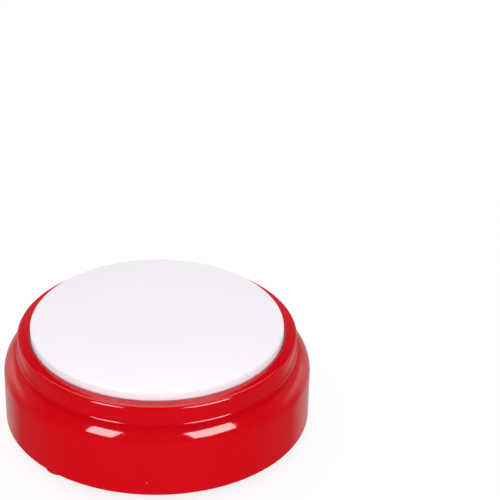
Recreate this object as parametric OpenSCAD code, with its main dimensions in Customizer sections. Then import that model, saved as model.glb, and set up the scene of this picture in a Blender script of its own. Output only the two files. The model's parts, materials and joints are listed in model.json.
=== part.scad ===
// Talking clock: a round case with a raised collar, one big domed push button and the works inside.
// Millimetres, +Z up, origin on the table under the middle of the case, front towards -Y.

/* [Case] */
// Widest diameter of the case
case_d = 100; // [99:0.5:104]
// Height of the wall's bottom edge above the table
foot_h = 2.4; // [1.8:0.1:3]
// Wall thickness of the case
wall_t = 2; // [1.7:0.1:2.2]
// How far the wall leans in at its bottom edge
wall_draft = 0.2; // [0:0.05:0.4]
// Height of the straight wall above its bottom edge
wall_h = 16.2; // [15:0.2:17]
// Radius of the round shoulder
shoulder_r = 8.4; // [7.8:0.1:8.8]
// How far the collar stands in from the case's widest line
collar_in = 4.5; // [4:0.25:5]
// Height from the wall's bottom edge to the top edge of the collar
collar_h = 29.3; // [29:0.1:31]
// Radius of the collar's top edge
collar_round = 1.2; // [0.8:0.1:1.6]
// Radius of the fillet where the shoulder meets the collar
collar_fillet = 0.9; // [0.5:0.1:1.2]
// Rise of the ring's top from the collar's edge to the lip round the button
ring_rise = 0.15; // [0:0.05:0.4]
// Thickness of the ring round the button
ring_t = 1.8; // [1.4:0.1:2]
// Radius of the lip's edge
lip_round = 0.35; // [0.2:0.05:0.5]

/* [Button] */
// Width of the ring from the collar's edge to the lip round the button
ring_w = 3.8; // [3.5:0.1:5]
// Gap all round between the button and the ring
button_gap = 0.5; // [0.4:0.05:0.7]
// Height of the straight side of the button above the ring
button_side_h = 1.95; // [1.6:0.05:3]
// Radius of the button's rim
button_round = 2; // [1.5:0.1:2.4]
// Radius of the sphere that the button's top is part of
dome_r = 288; // [240:4:400]
// Wall thickness of the button
button_t = 2; // [1.6:0.1:2.2]
// How far the button travels
button_travel = 2; // [1.2:0.1:2.2]
// Thickness of the flange that keeps the button under the ring
flange_t = 1.4; // [1:0.1:1.6]
// Room between a button spring and the inside of the button's skirt
guide_gap = 3.25; // [2.25:0.25:5]
// Radius of a guide post
guide_r = 2; // [1.8:0.1:2.3]

/* [Base] */
// Depth of the base plate inside the wall's bottom edge
base_inset = 0.8; // [0.4:0.1:1]
// Thickness of the base plate
base_t = 2; // [1.8:0.1:2.2]
// Gap between the base plate and the case wall
base_gap = 0.3; // [0.2:0.05:0.5]
// Diameter of a foot
foot_d = 9; // [7:0.5:9.5]
// Direction of the first foot, the others stand a third of a turn on
foot_angle = -127; // [-130:1:-122]
// Radius of a boss that takes a case screw
boss_r = 3.2; // [2.8:0.1:3.4]
// Radius of a case screw's shank
screw_r = 1.1; // [0.9:0.05:1.2]

/* [Battery box] */
// Diameter of a cell
cell_d = 10.5; // [10:0.1:10.7]
// Length of a cell over its button
cell_l = 44.5; // [43:0.1:44.6]
// Room beside each cell
cell_gap = 0.4; // [0.3:0.05:0.5]
// Wall thickness of the battery box
box_t = 1.4; // [1.2:0.1:1.5]
// Room between the battery box and the boss behind it
box_room = 1.65; // [1.4:0.05:1.8]
// Thickness of the battery door
door_t = 1.6; // [1.4:0.1:1.8]
// Gap round the battery door
door_gap = 0.3; // [0.2:0.05:0.4]
// Room at the spring end of a cell
spring_room = 4; // [3.6:0.1:4.2]
// Room at the button end of a cell
nub_room = 1; // [0.9:0.05:1.1]

/* [Speaker] */
// Room between the speaker's locating ring and the battery box
speaker_room = 2.7; // [2.5:0.1:4]
// Room between the speaker's locating ring and the edge of the base plate
speaker_edge = 3.7; // [3.5:0.1:5]
// Direction of the speaker from the middle of the case
speaker_angle = 225.7; // [225:0.1:227]
// Height of the speaker's basket
basket_h = 3.6; // [3.2:0.1:3.8]
// Diameter of the speaker's magnet
magnet_d = 16; // [15:0.25:16.5]
// Height of the speaker's magnet
magnet_h = 2.2; // [1.8:0.1:2.4]
// Diameter of a hole in the speaker's grille
grille_hole_d = 1.8; // [1.2:0.1:2]
// Distance between the rings of grille holes
grille_pitch = 3.6; // [3.2:0.1:3.8]

/* [Keys] */
// Diameter of a setting key
key_d = 6.6; // [6:0.1:7]
// Distance between setting keys
key_pitch = 10; // [9.5:0.1:10.4]
// From the middle of the last key to the edge of the base plate on the right
key_edge = 15.5; // [15.3:0.1:15.8]
// Middle of the row of keys, to the front
key_y = -10.5; // [-11:0.1:-10.2]
// Travel of a setting key
key_travel = 0.4; // [0.3:0.05:0.5]
// Middle of the alarm switch, to the front
alarm_y = -22; // [-22.5:0.1:-21.5]
// Travel of the alarm switch
alarm_travel = 3; // [2:0.25:3.5]

/* [Boards] */
// Thickness of a circuit board
board_t = 1.6; // [1.2:0.1:1.6]
// Width of the main board
board_w = 38; // [37:0.5:39]
// Depth of the main board
board_l = 30; // [29:0.5:31]
// Height of the underside of the key board above the base plate
key_board_z = 6.8; // [6.6:0.1:7.2]
// Thickness of the inner deck
deck_t = 1.8; // [1.6:0.1:2]

/* [Springs] */
// Wire diameter of a button spring
spring_wire = 0.7; // [0.5:0.05:0.8]
// Mean radius of a button spring
spring_r = 4; // [3.9:0.05:4.2]
// Turns of a button spring
spring_turns = 5; // [4:1:6]

/* [Hidden] */

$fn = 64;
fine = 32;
overlap = 0.01;
pinch = 0.05;
// How far a cut runs out past the face it starts from, and how deep one body sinks into another
cut = 1;
sink = 0.5;

// Colours
red = "#d0101c";
white = "#f4f1f5";
black = "#26262a";
steel = "#b9bcc0";
green = "#1f6b3a";
grey = "#8b8d90";
copper = "#b8733a";

// Directions of the feet and of the case screws between them
feet = [for (i = [0:2]) foot_angle + 120 * i];
bosses = [for (i = [0:2]) foot_angle + 60 + 120 * i];

// Case
case_r = case_d / 2;
wall_z = foot_h;
bottom_r = case_r - wall_draft;
shoulder_z = wall_z + wall_h;
collar_r = case_r - collar_in;
ring_z = wall_z + collar_h;
lip_z = ring_z + ring_rise;
ring_r = collar_r - ring_w;
shoulder_x = case_r - shoulder_r;
flange_z = lip_z - ring_t - flange_t - pinch;
base_z = wall_z + base_inset;
base_top = base_z + base_t;
base_r = bottom_r - wall_t - base_gap;
foot_in = 0.2;
foot_ring = base_r - foot_d / 2 - foot_in;
boss_in = 0.9;
boss_ring = base_r - boss_r - boss_in;
boss_gap = 0.9;
boss_top = flange_z - button_travel - boss_gap;
screw_fit = 0.05;
hole_gap = 0.2;
small_screw_r = 0.9;
small_head_r = 1.9;
head_r = 2.1;
head_h = 1.3;
head_gap = 0.25;
cross_w = 0.5;
cross_h = 0.7;
case_screw_l = 9;
case_pilot_l = 10;
deck_screw_l = 4;
deck_pilot_l = 4.5;
board_screw_l = 3;
key_screw_l = 4;
notch_w = 9;
notch_l = 3;
notch_h = 1;

// Button
button_r = ring_r - button_gap;
rim_z = lip_z + button_side_h;
dome_mid = rim_z - sqrt(pow(dome_r - button_round, 2) - pow(button_r - button_round, 2));
dome_top = dome_mid + dome_r;
rim_angle = atan2(rim_z - dome_mid, button_r - button_round);
flange_in = 0.5;
flange_r = collar_r - wall_t - flange_in;
skirt_t = 1.6;
pad_h = 3.6;
rib_t = 1.4;
centre_r = 3;
guide_fit = 0.08;
guide_ring_r = button_r - skirt_t - spring_r - spring_wire / 2 - guide_gap;

// Battery box
box_w = cell_l + spring_room + nub_room;
box_d = 2 * cell_d + 3 * cell_gap;
box_y = boss_ring * sin(bosses[1]) - boss_r - box_room - box_t - box_d / 2;
door_top = base_z + door_t;
cell_z = door_top + cell_gap + cell_d / 2;
box_top = cell_z + cell_d / 2 + cell_gap + box_t;
cell_y = (cell_d + cell_gap) / 2;
nub_h = 1;
nub_r = 1.9;
plate_t = 0.4;
plate_w = 8.4;
tag_w = 2;
tag_up = 2.8;
tag_z = cell_z + tag_up;
tag_out = 1.6;
tag_in = 0.3;
tag_room = 0.3;
contact_r = 3.4;
contact_tip_r = 2.2;
contact_wire = 0.6;
contact_turns = 4;
hook_w = 6;
hook_t = 1;
hook_leg = 1.2;
hook_reach = 1.1;
hook_x = 14;
hook_room = 1;
ledge_gap = 0.2;
hinge_r = 0.3;
hinge_in = 0.35;
latch_w = 8;
latch_t = 0.8;
latch_h = 2;
latch_in = 0.7;
finger_w = 0.8;
finger_l = 3;
finger_pitch = 2;
finger_depth = 0.4;
finger_y = 4.5;

// Inner deck, over the battery box
deck_room = 0.5;
deck_z = box_top + deck_room;
deck_top = deck_z + deck_t;
deck_gap = 0.5;
deck_r = boss_ring - boss_r - deck_gap;
ear_r = 3;
ear_out = 0.2;
ear_ring = boss_ring + ear_out;
tube_t = 1.1;
tube_h = 5.4;
board_lift = 2;
board_post_r = 2.4;
board_hole_in = 3;
board_hole_gap = 0.15;
board_z = deck_top + board_lift;
board_top = board_z + board_t;
lead_in = 3.2;
lead_y = -board_l / 2 - lead_in;
lead_out = 3.4;
lead_x = -box_w / 2 - box_t - lead_out;
front_window_w = 11;
front_window_l = 5;
side_window_w = 2.6;
side_window_l = 4.6;
side_window_in = 1.8;

// On the main board, each from the edge it stands near
chip_in = 8;
chip_r = 4.6;
chip_h = 1.5;
chip_y = 3;
crystal_in = 10;
crystal_back = 6;
crystal_r = 1.05;
crystal_l = 6;
filter_in = 8.5;
filter_front = 7;
filter_r = 2.5;
filter_h = 6;
supply_in = 5.5;
supply_r = 3.1;
supply_h = 7;
groove_z = 1.2;
groove_t = 0.25;
groove_h = 0.5;
resistor_pitch = 2.6;
resistor_front = 4;
resistor_w = 1.2;
resistor_l = 2;
resistor_h = 0.55;

// Main switch
switch_w = 8.5;
switch_h = 3.6;
switch_step = 0.8;
collar_switch_r = 3.2;
plunger_r = 1.7;
plunger_fit = 0.06;
plunger_in = 0.8;
plunger_room = 1;
plunger_z = board_top + switch_h;
plunger_out = button_travel + plunger_room;
press_z = plunger_z + plunger_out;

// Speaker
rim_t = 1;
gasket_t = 0.5;
gasket_w = 2;
locator_t = 1.2;
speaker_fit = 0.3;
// The locating ring fills the room between the battery box and the edge of the base plate
ring_reach = base_r - speaker_edge;
ring_back = box_y - box_d / 2 - box_t - speaker_room;
locator_r = (ring_reach * -sin(speaker_angle) + ring_back) / (1 - sin(speaker_angle));
speaker_r = locator_r - locator_t - speaker_fit;
speaker_x = (ring_reach - locator_r) * cos(speaker_angle);
speaker_y = (ring_reach - locator_r) * sin(speaker_angle);
speaker_z = base_top + gasket_t;
basket_top = speaker_z + basket_h;
basket_wall = 0.6;
clamp_post_r = 2.4;
post_gap = 0.3;
clamp_ring = speaker_r + speaker_fit + clamp_post_r + post_gap;
clamp_angles = [30, 150, 270];
clamp_post_top = speaker_z + rim_t;
clamp_t = 0.8;
clamp_w = 4;
clamp_in = 0.8;
clamp_reach = 1.2;
clamp_screw_l = 0.3;
strip_angle = 60;
strip_in = 2.2;
strip_w = 3;
strip_l = 7;
strip_t = 0.8;
magnet_gap = 1;
magnet_wall = 2;
coil_r = magnet_d / 2 - magnet_gap - magnet_wall;
coil_in = 1;
cup_in = 3;
cup_drop = 0.3;
frame_w = 1.5;
frame_hole = 1.4;
pole_gap = 0.4;
pole_drop = 1.2;
yoke_in = 0.8;
yoke_t = 0.9;
surround_w = 2.1;
cone_bend = 0.1;
cone_h = 1.4;
cone_room = 0.4;
cap_h = 0.9;
coil_t = 0.3;
cone_t = 0.3;
cone_travel = 0.4;
grille_rings = 3;

// Keys
key_x = base_r - key_edge - key_pitch;
keys_x = [key_x - key_pitch, key_x, key_x + key_pitch];
key_board_bottom = base_top + key_board_z;
key_board_top = key_board_bottom + board_t;
tact_w = 6;
tact_h = 3.4;
tact_rest = 0.5;
tact_out = key_travel + tact_rest;
tact_in = 1;
tact_hole = 1.6;
tact_r = 1.7;
tact_bottom = key_board_bottom - tact_h;
key_fit = 0.2;
key_out = 0.5;
key_flange_t = 0.9;
key_flange_w = 0.9;
key_bottom = base_z - key_out;
key_stem_r = 1.6;
mark_l = 3.4;
mark_w = 0.8;
mark_h = 0.3;
mark_in = 0.2;
mark_hole = 0.9;
key_post_r = 2.3;
// How far the key board reaches from the middle key to each side
key_board_left = 18.5;
key_board_right = 16.5;
key_board_front = 18.5;
key_board_back = 5.6;
key_hole_in = 3;
key_hole_left = 9.5;
key_hole_right = 8;
corner_cut = 14;
corner_out = 2.5;
key_posts = [[key_x - key_board_left + key_hole_in, key_y - key_board_front + key_hole_left],
    [key_x + key_board_right - key_hole_in, key_y - key_board_front + key_hole_right]];
knob_w = 5;
knob_l = 3;
knob_fit = 0.25;
knob_flange = 0.4;
knob_flange_t = 1;
knob_flange_l = 0.8;
knob_groove_pitch = 1.4;
knob_groove_w = 0.6;
knob_groove_depth = 0.3;
socket_fit = 0.05;
socket_up = 0.3;
slider_w = 2;
slider_gap = 0.2;
slider_up = 0.6;
slider_in = 1.8;
alarm_w = 9;
alarm_l = 4;
alarm_h = 3.6;
alarm_slot = 2;
alarm_x = key_x;

// Points of an arc round (x, y)
function arc(x, y, r, from, to, n) =
    [for (i = [0:n]) let (a = from + (to - from) * i / n) [x + r * cos(a), y + r * sin(a)]];

// The fillet touches the shoulder at the angle fillet_a
fillet_x = collar_r + collar_fillet;
fillet_a = acos((fillet_x - shoulder_x) / (shoulder_r + collar_fillet));
fillet_z = shoulder_z + (shoulder_r + collar_fillet) * sin(fillet_a);

// Half section of the case's outside, from the bottom edge to the lip
function case_outside() = concat(
    [[bottom_r, wall_z]],
    arc(shoulder_x, shoulder_z, shoulder_r, 0, fillet_a, 14),
    arc(fillet_x, fillet_z, collar_fillet, 180 + fillet_a, 180, 6),
    arc(collar_r - collar_round, ring_z - collar_round, collar_round, 0, 90, 8),
    arc(ring_r + lip_round, lip_z - lip_round, lip_round, 90, 180, 5));

// Half section of the case's inside, a depth t under the outside, up to the collar's wall
function inside_a(t) = acos((collar_r - t - shoulder_x) / (shoulder_r - t));
function case_inside(t) = concat(
    [[collar_r - t, lip_z - ring_t]],
    arc(shoulder_x, shoulder_z, shoulder_r - t, inside_a(t), 0, 10),
    [[bottom_r - t, wall_z]]);

// Solid that fills the case to half of its wall, so that bosses end inside the wall
module case_fill() {
    rotate_extrude()
        polygon(concat([[0, wall_z], [0, lip_z - ring_t]], case_inside(wall_t / 2)));
}

// Things at one radius in several directions
module around(angles, r) {
    for (a = angles)
        rotate(a) translate([r, 0, 0]) children();
}

module tube(r, hole, h) {
    difference() {
        cylinder(r = r, h = h);
        translate([0, 0, -cut]) cylinder(r = hole, h = h + 2 * cut);
    }
}

// Box centred in X and Y, standing on z = 0
module block(w, d, h) {
    translate([-w / 2, -d / 2, 0]) cube([w, d, h]);
}

// Pan head screw, its head's seat at z = 0 and its shank upwards
module screw(shank, length, head) {
    difference() {
        union() {
            translate([0, 0, -head_h]) cylinder(r = head, h = head_h);
            cylinder(r = shank, h = length);
        }
        translate([0, 0, -head_h - overlap]) block(head * 1.1, cross_w, cross_h);
        translate([0, 0, -head_h - overlap]) block(cross_w, head * 1.1, cross_h);
    }
}

// Tube swept along points, each ring square to the path and turned by the direction up
function unit(v) = v / norm(v);
function heading(p, i) = unit(p[min(i + 1, len(p) - 1)] - p[max(i - 1, 0)]);
module sweep(path, r, sides, up) {
    n = len(path);
    points = [for (i = [0:n - 1])
        let (t = heading(path, i), u = unit(cross(t, up)), v = cross(t, u))
        for (j = [0:sides - 1])
            path[i] + r * (u * cos(360 * j / sides) + v * sin(360 * j / sides))];
    walls = [for (i = [0:n - 2]) for (j = [0:sides - 1])
        let (a = i * sides + j, b = i * sides + (j + 1) % sides)
        for (f = [[a, b + sides, b], [a, a + sides, b + sides]]) f];
    first = [for (j = [1:sides - 2]) [0, j, j + 1]];
    last = [for (j = [1:sides - 2]) let (k = (n - 1) * sides) [k, k + j + 1, k + j]];
    polyhedron(points, concat(walls, first, last));
}

// Smooth path through the points of a route
function between(a, b, c, d, s) =
    0.5 * (2 * b + (c - a) * s + (2 * a - 5 * b + 4 * c - d) * s * s + (3 * b - a - 3 * c + d) * s * s * s);
function smooth(p, steps) = let (n = len(p)) concat(
    [for (i = [0:n - 2]) for (k = [0:steps - 1])
        between(p[max(i - 1, 0)], p[i], p[i + 1], p[min(i + 2, n - 1)], k / steps)],
    [p[n - 1]]);

// Coil that stands on z = 0, its ends wound flat, with radii r0 below and r1 above
function coil(r0, r1, h, wire, turns, steps) =
    [for (i = [0:turns * steps])
        let (s = i / (turns * steps), a = 360 * i / steps, e = min(1, max(0, (s * turns - 0.75) / (turns - 1.5))))
        [(r0 + (r1 - r0) * s) * cos(a), (r0 + (r1 - r0) * s) * sin(a),
            wire / 2 + wire * 0.9 * min(s * turns, 0.75) + wire * 0.9 * max(0, s * turns - turns + 0.75)
            + (h - wire - wire * 1.35) * e]];

// Case
module upper_housing() {
    color(red)
    difference() {
        union() {
            rotate_extrude()
                polygon(concat(case_outside(), [[ring_r, lip_z - ring_t]], case_inside(wall_t)));
            intersection() {
                union() {
                    around(bosses, boss_ring)
                        translate([0, 0, base_top]) cylinder(r = boss_r, h = boss_top - base_top, $fn = fine);
                    around(feet, ear_ring)
                        translate([0, 0, deck_top]) cylinder(r = ear_r, h = boss_top - deck_top, $fn = fine);
                }
                case_fill();
            }
        }
        around(bosses, boss_ring)
            translate([0, 0, base_top - cut])
                cylinder(r = screw_r + screw_fit, h = case_pilot_l + cut, $fn = fine);
        around(feet, ear_ring)
            translate([0, 0, deck_top - cut])
                cylinder(r = screw_r + screw_fit, h = deck_pilot_l + cut, $fn = fine);
    }
}

module foot() {
    chamfer = 0.5;
    rotate_extrude()
        polygon([[0, 0], [foot_d / 2 - chamfer, 0], [foot_d / 2, chamfer], [foot_d / 2, base_z + sink],
            [0, base_z + sink]]);
}

module grille_holes() {
    translate([speaker_x, speaker_y, base_z - cut]) {
        cylinder(d = grille_hole_d, h = base_t + 2 * cut, $fn = fine);
        for (ring = [1:grille_rings])
            for (i = [0:6 * ring - 1])
                rotate(60 / ring * i) translate([grille_pitch * ring, 0, 0])
                    cylinder(d = grille_hole_d, h = base_t + 2 * cut, $fn = fine);
    }
}

module battery_box() {
    translate([0, box_y, 0]) {
        difference() {
            translate([0, 0, base_top - overlap])
                block(box_w + 2 * box_t, box_d + 2 * box_t, box_top - base_top + overlap);
            translate([0, 0, base_z]) block(box_w, box_d, box_top - box_t - base_z);
            // Slots for the door's hooks, with room above for the door to tilt
            for (x = [-hook_x, hook_x])
                translate([x, box_d / 2 + box_t / 2, base_top])
                    block(hook_w + hook_room, box_t + 2 * cut, hook_t + hook_room);
            // Slots in the end wall for the solder tags of the terminals
            for (y = [-cell_y, cell_y])
                translate([-box_w / 2 - box_t / 2, y, tag_z - tag_room])
                    block(box_t + cut, tag_w + 2 * tag_room, plate_t + 2 * tag_room);
        }
    }
}

module base_plate() {
    color(red)
    difference() {
        union() {
            translate([0, 0, base_z]) cylinder(r = base_r, h = base_t, $fn = 128);
            around(feet, foot_ring) foot();
            battery_box();
            translate([speaker_x, speaker_y, base_top - overlap]) {
                tube(speaker_r + speaker_fit + locator_t, speaker_r + speaker_fit, clamp_post_top - base_top);
                around(clamp_angles, clamp_ring)
                    cylinder(r = clamp_post_r, h = clamp_post_top - base_top + overlap, $fn = fine);
            }
            for (p = key_posts)
                translate([p[0], p[1], base_top - overlap])
                    cylinder(r = key_post_r, h = key_board_z + overlap, $fn = fine);
        }
        // Battery opening and the fingernail notch before the door's latch
        translate([0, box_y, base_z - cut]) block(box_w, box_d, base_t + cut + sink);
        translate([0, box_y - box_d / 2, base_z - cut]) block(notch_w, notch_l, notch_h + cut);
        grille_holes();
        translate([speaker_x, speaker_y, base_top])
            around(clamp_angles, clamp_ring)
                cylinder(r = small_screw_r + screw_fit, h = gasket_t + rim_t + cut, $fn = fine);
        for (p = key_posts)
            translate([p[0], p[1], base_top]) cylinder(r = screw_r + screw_fit, h = key_board_z + cut, $fn = fine);
        for (x = keys_x)
            translate([x, key_y, base_z - cut])
                cylinder(d = key_d + 2 * key_fit, h = base_t + 2 * cut, $fn = fine);
        translate([alarm_x, alarm_y, base_z - cut])
            block(knob_w + alarm_travel + 2 * knob_fit, knob_l + 2 * knob_fit, base_t + 2 * cut);
        around(bosses, boss_ring) {
            translate([0, 0, base_z - cut]) cylinder(r = screw_r + hole_gap, h = base_t + 2 * cut, $fn = fine);
            translate([0, 0, base_z - cut]) cylinder(r = head_r + head_gap, h = head_h + cut, $fn = fine);
        }
    }
}

// Button
module button_fill() {
    half = button_t / 2;
    rotate_extrude()
        polygon(concat([[0, guide_bottom - cut]],
            [[button_r - half, guide_bottom - cut], [button_r - half, rim_z]],
            arc(0, dome_mid, dome_r - half, rim_angle, 90, 12)));
}

module press_button() {
    color(white) {
        rotate_extrude() polygon(concat(
            arc(button_r - button_round, rim_z, button_round, 0, rim_angle, 8),
            arc(0, dome_mid, dome_r, rim_angle, 90, 10),
            arc(0, dome_mid, dome_r - button_t, 90, rim_angle, 10),
            [[button_r - skirt_t, rim_z - button_t / 2], [button_r - skirt_t, flange_z], [flange_r, flange_z],
                [flange_r, flange_z + flange_t], [button_r, flange_z + flange_t]]));
        intersection() {
            union() {
                around(bosses, guide_ring_r) {
                    translate([0, 0, spring_top])
                        cylinder(r = spring_r + spring_wire, h = dome_top - spring_top, $fn = fine);
                    translate([0, 0, guide_bottom])
                        cylinder(r = guide_r, h = spring_top + cut - guide_bottom, $fn = fine);
                }
                for (a = bosses)
                    rotate(a) translate([cut, -rib_t / 2, dome_top - button_t - pad_h])
                        cube([guide_ring_r, rib_t, pad_h + button_t]);
                translate([0, 0, press_z + pinch])
                    cylinder(r = centre_r, h = dome_top - press_z - pinch, $fn = fine);
            }
            button_fill();
        }
    }
}
spring_seat = 3.2;
spring_top = rim_z - spring_seat;
spring_h = spring_top - deck_top;
guide_in = 3;
guide_bottom = deck_top + tube_h - guide_in;

module spring_at(a) {
    color(steel)
        rotate(a) translate([guide_ring_r, 0, deck_top])
            sweep(coil(spring_r, spring_r, spring_h, spring_wire, spring_turns, 16), spring_wire / 2, 8, [0, 0, 1]);
}
module button_spring_front() {
    spring_at(bosses[0]);
}
module button_spring_back() {
    spring_at(bosses[1]);
}
module button_spring_left() {
    spring_at(bosses[2]);
}

// Inner deck, which carries the springs and the main board
board_holes = [for (x = [-1, 1]) for (y = [-1, 1]) 
    [x * (board_w / 2 - board_hole_in), y * (board_l / 2 - board_hole_in)]];
module inner_deck() {
    color(black)
    difference() {
        union() {
            translate([0, 0, deck_z]) cylinder(r = deck_r, h = deck_t);
            around(feet, ear_ring)
                translate([0, 0, deck_z]) cylinder(r = ear_r, h = deck_t, $fn = fine);
            around(feet, (deck_r + ear_ring) / 2)
                translate([0, 0, deck_z]) block(ear_ring - deck_r + 2 * cut, 2 * ear_r, deck_t);
            around(bosses, guide_ring_r)
                translate([0, 0, deck_z]) cylinder(r = guide_r + guide_fit + tube_t, h = deck_t + tube_h, $fn = fine);
            for (p = board_holes)
                translate([p[0], p[1], deck_z])
                    cylinder(r = board_post_r, h = deck_t + board_lift, $fn = fine);
        }
        around(bosses, guide_ring_r)
            translate([0, 0, deck_z - cut])
                cylinder(r = guide_r + guide_fit, h = deck_t + tube_h + 2 * cut, $fn = fine);
        around(feet, ear_ring)
            translate([0, 0, deck_z - cut]) cylinder(r = screw_r + hole_gap, h = deck_t + 2 * cut, $fn = fine);
        for (p = board_holes)
            translate([p[0], p[1], deck_z - cut])
                cylinder(r = screw_r + screw_fit, h = deck_t + board_lift + 2 * cut, $fn = fine);
        // Windows for the leads
        translate([0, lead_y, deck_z - cut]) block(front_window_w, front_window_l, deck_t + 2 * cut);
        translate([lead_x, box_y - side_window_in, deck_z - cut])
            block(side_window_w, side_window_l, deck_t + 2 * cut);
    }
}

module main_board() {
    color(green)
    difference() {
        translate([0, 0, board_z]) block(board_w, board_l, board_t);
        for (p = board_holes)
            translate([p[0], p[1], board_z - cut])
                cylinder(r = screw_r + board_hole_gap, h = board_t + 2 * cut, $fn = fine);
    }
}

module sound_chip() {
    color(black)
        translate([board_w / 2 - chip_in, chip_y, board_top])
            rotate_extrude()
                polygon(concat([[0, 0]], [for (a = [0:18:90]) [chip_r * cos(a), chip_h * sin(a)]]));
}

module crystal() {
    color(steel)
        translate([-board_w / 2 + crystal_in, board_l / 2 - crystal_back, board_top + crystal_r])
            rotate([0, 90, 0]) cylinder(r = crystal_r, h = crystal_l, $fn = fine);
}

module capacitor(x, y, r, h) {
    translate([x, y, board_top]) {
        difference() {
            cylinder(r = r, h = h, $fn = fine);
            translate([0, 0, groove_z]) tube(r + cut, r - groove_t, groove_h);
        }
    }
}
module filter_capacitor() {
    color(black) capacitor(-board_w / 2 + filter_in, -board_l / 2 + filter_front, filter_r, filter_h);
}
module supply_capacitor() {
    color(black) capacitor(-board_w / 2 + supply_in, 0, supply_r, supply_h);
}

module board_resistors() {
    color(black)
        for (i = [0:5])
            translate([resistor_pitch * (i - 2), -board_l / 2 + resistor_front, board_top])
                block(resistor_w, resistor_l, resistor_h);
}

module main_switch() {
    color(black)
        difference() {
            union() {
                translate([0, 0, board_top]) block(switch_w, switch_w, switch_h - switch_step);
                translate([0, 0, board_top]) cylinder(r = collar_switch_r, h = switch_h, $fn = fine);
            }
            translate([0, 0, plunger_z - plunger_out])
                cylinder(r = plunger_r + plunger_fit, h = plunger_out + cut, $fn = fine);
        }
}
module main_switch_plunger() {
    color(white)
        translate([0, 0, plunger_z - plunger_in])
            cylinder(r = plunger_r, h = plunger_out + plunger_in, $fn = fine);
}

// Speaker, face down over the grille
cup_r = speaker_r - cup_in;
module speaker_basket() {
    color(grey)
        translate([speaker_x, speaker_y, 0])
            rotate_extrude() polygon([
                [speaker_r, speaker_z], [speaker_r, speaker_z + rim_t],
                [cup_r + basket_wall, speaker_z + rim_t],
                [magnet_d / 2 + frame_w + basket_wall, basket_top], [coil_r + frame_hole, basket_top],
                [coil_r + frame_hole, basket_top - basket_wall], [magnet_d / 2 + frame_w, basket_top - basket_wall],
                [cup_r, speaker_z + rim_t - cup_drop], [cup_r, speaker_z]]);
}
module speaker_yoke() {
    color(steel)
        translate([speaker_x, speaker_y, 0])
            rotate_extrude() polygon([
                [0, basket_top - pole_drop], [coil_r - pole_gap, basket_top - pole_drop],
                [coil_r - pole_gap, basket_top + magnet_h],
                [magnet_d / 2 - yoke_in, basket_top + magnet_h],
                [magnet_d / 2 - yoke_in, basket_top + magnet_h + yoke_t],
                [0, basket_top + magnet_h + yoke_t]]);
}
module speaker_magnet() {
    color(black)
        translate([speaker_x, speaker_y, basket_top]) tube(magnet_d / 2, coil_r + magnet_gap, magnet_h);
}
cone_z = base_top + cone_travel + cone_room;
module speaker_cone() {
    color(white)
        translate([speaker_x, speaker_y, 0])
            rotate_extrude() polygon([
                [coil_r + coil_t + pinch, cone_z + cone_h], [coil_r + coil_t + pinch, cone_z + cone_h - cone_t],
                [cup_r - surround_w - cone_bend, cone_z], [cup_r - pinch, cone_z],
                [cup_r - pinch, cone_z + cone_t], [cup_r - surround_w, cone_z + cone_t]]);
}
module voice_coil() {
    color(copper)
        translate([speaker_x, speaker_y, 0])
            rotate_extrude() polygon([
                [0, cone_z + cap_h], [coil_r + coil_t, cone_z + cap_h], [coil_r + coil_t, basket_top + coil_in],
                [coil_r, basket_top + coil_in], [coil_r, cone_z + cap_h + coil_t],
                [0, cone_z + cap_h + coil_t]]);
}
module speaker_gasket() {
    color(black)
        translate([speaker_x, speaker_y, base_top])
            tube(speaker_r, speaker_r - gasket_w, gasket_t);
}
module speaker_terminals() {
    color(green)
        translate([speaker_x, speaker_y, 0])
            rotate(strip_angle) translate([magnet_d / 2 + strip_in, 0, basket_top])
                block(strip_w, strip_l, strip_t);
}
module clamp_plates() {
    translate([speaker_x, speaker_y, clamp_post_top])
        around(clamp_angles, clamp_ring)
            difference() {
                translate([-clamp_in, 0, 0]) block(2 * clamp_post_r + clamp_reach, clamp_w, clamp_t);
                translate([0, 0, -cut])
                    cylinder(r = screw_r + board_hole_gap, h = clamp_t + 2 * cut, $fn = fine);
            }
}
module speaker_clamps() {
    color(steel) clamp_plates();
}
module speaker_screws() {
    color(grey)
        translate([speaker_x, speaker_y, clamp_post_top + clamp_t])
            around(clamp_angles, clamp_ring)
                mirror([0, 0, 1]) screw(small_screw_r, clamp_t + rim_t + clamp_screw_l, small_head_r);
}

// Battery door, with two hooks at the back and a springy latch at the front
module battery_door() {
    w = box_w - 2 * door_gap;
    d = box_d - 2 * door_gap;
    back = box_d / 2;
    color(red)
    translate([0, box_y, 0]) {
        difference() {
            union() {
                translate([0, -hinge_in / 2, base_z]) block(w, d - hinge_in, door_t);
                translate([0, 0, base_z + hinge_in]) block(w, d, door_t - hinge_in);
                // Round edge on which the door tilts
                translate([-w / 2, d / 2 - hinge_in, base_z + hinge_in]) rotate([0, 90, 0])
                    cylinder(r = hinge_r, h = w, $fn = fine);
            }
            for (i = [-2:2])
                translate([i * finger_pitch, -d / 2 + finger_y, base_z - cut])
                    block(finger_w, finger_l, finger_depth + cut);
        }
        for (x = [-hook_x, hook_x])
            translate([x, 0, 0]) {
                translate([0, back - door_gap - hook_leg / 2, base_z + sink])
                    block(hook_w, hook_leg, base_top + ledge_gap + hook_t - base_z - sink);
                translate([0, back - door_gap + (hook_reach - hook_t) / 2, base_top + ledge_gap])
                    block(hook_w, hook_t + hook_reach, hook_t);
            }
        // Latch, a tongue that stands up near the front edge
        translate([0, -d / 2 + latch_in, door_top - sink]) block(latch_w, latch_t, latch_h + sink);
    }
}

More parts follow.
